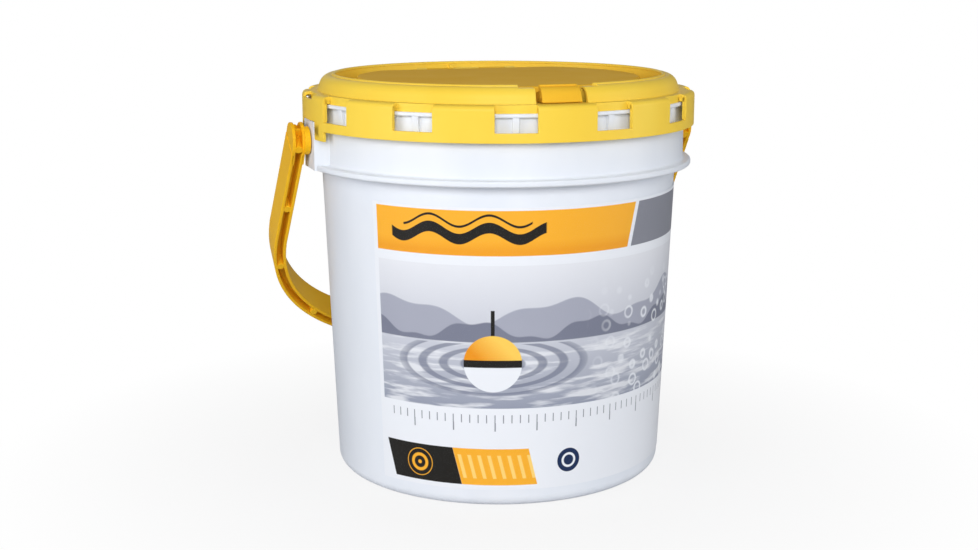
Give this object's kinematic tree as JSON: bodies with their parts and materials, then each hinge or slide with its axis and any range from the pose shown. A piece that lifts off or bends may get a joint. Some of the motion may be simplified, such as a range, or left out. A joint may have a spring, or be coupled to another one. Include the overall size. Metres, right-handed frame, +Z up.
{
  "type": "insulated bait bucket",
  "caption": "Insulated bait bucket: tapered pail with a foam liner, a push-fit windowed lid with a hinged hatch and finger tab, and a swinging ribbed bail.",
  "frame": {"origin": "centre of the base, on the plane that the bucket stands on", "axes": "+Z up along the pail's axis; X along the line through the bail's pivots; -Y towards the hatch's finger tab, +Y towards the hatch's hinge and the hanging bail"},
  "size_m": [0.2712, 0.2501, 0.249],
  "materials": {
    "white_shell": "satin moulded polypropylene, cool white",
    "foam": "light grey closed-cell foam",
    "printed_film": "glossy printed film in orange, grey and black",
    "yellow_lid": "satin moulded polypropylene, warm yellow",
    "yellow_hatch": "satin moulded polypropylene with a fine grain, warm yellow",
    "pin_steel": "plain drawn wire",
    "yellow_bail": "satin moulded polypropylene, warm yellow"
  },
  "bodies": {
    "pail": {"pail": "white_shell", "foam_liner": "foam", "label_film": "printed_film"},
    "lid": {"lid": "yellow_lid", "hinge_pin": "pin_steel"},
    "hatch": {"hatch": "yellow_hatch"},
    "bail": {"bail": "yellow_bail"}
  },
  "joints": [
    {"name": "lid_lift", "type": "slide", "parent": "pail", "child": "lid", "axis": [0, 0, 1], "range_m": [0, 0.06]},
    {"name": "hatch_hinge", "type": "hinge", "parent": "lid", "child": "hatch", "pos_m": [0, 0.067, 0.2438], "axis": [-1, 0, 0], "range_deg": [0, 115]},
    {"name": "bail_swing", "type": "hinge", "parent": "pail", "child": "bail", "pos_m": [0, 0, 0.2103], "axis": [1, 0, 0], "range_deg": [0, 283]}
  ]
}
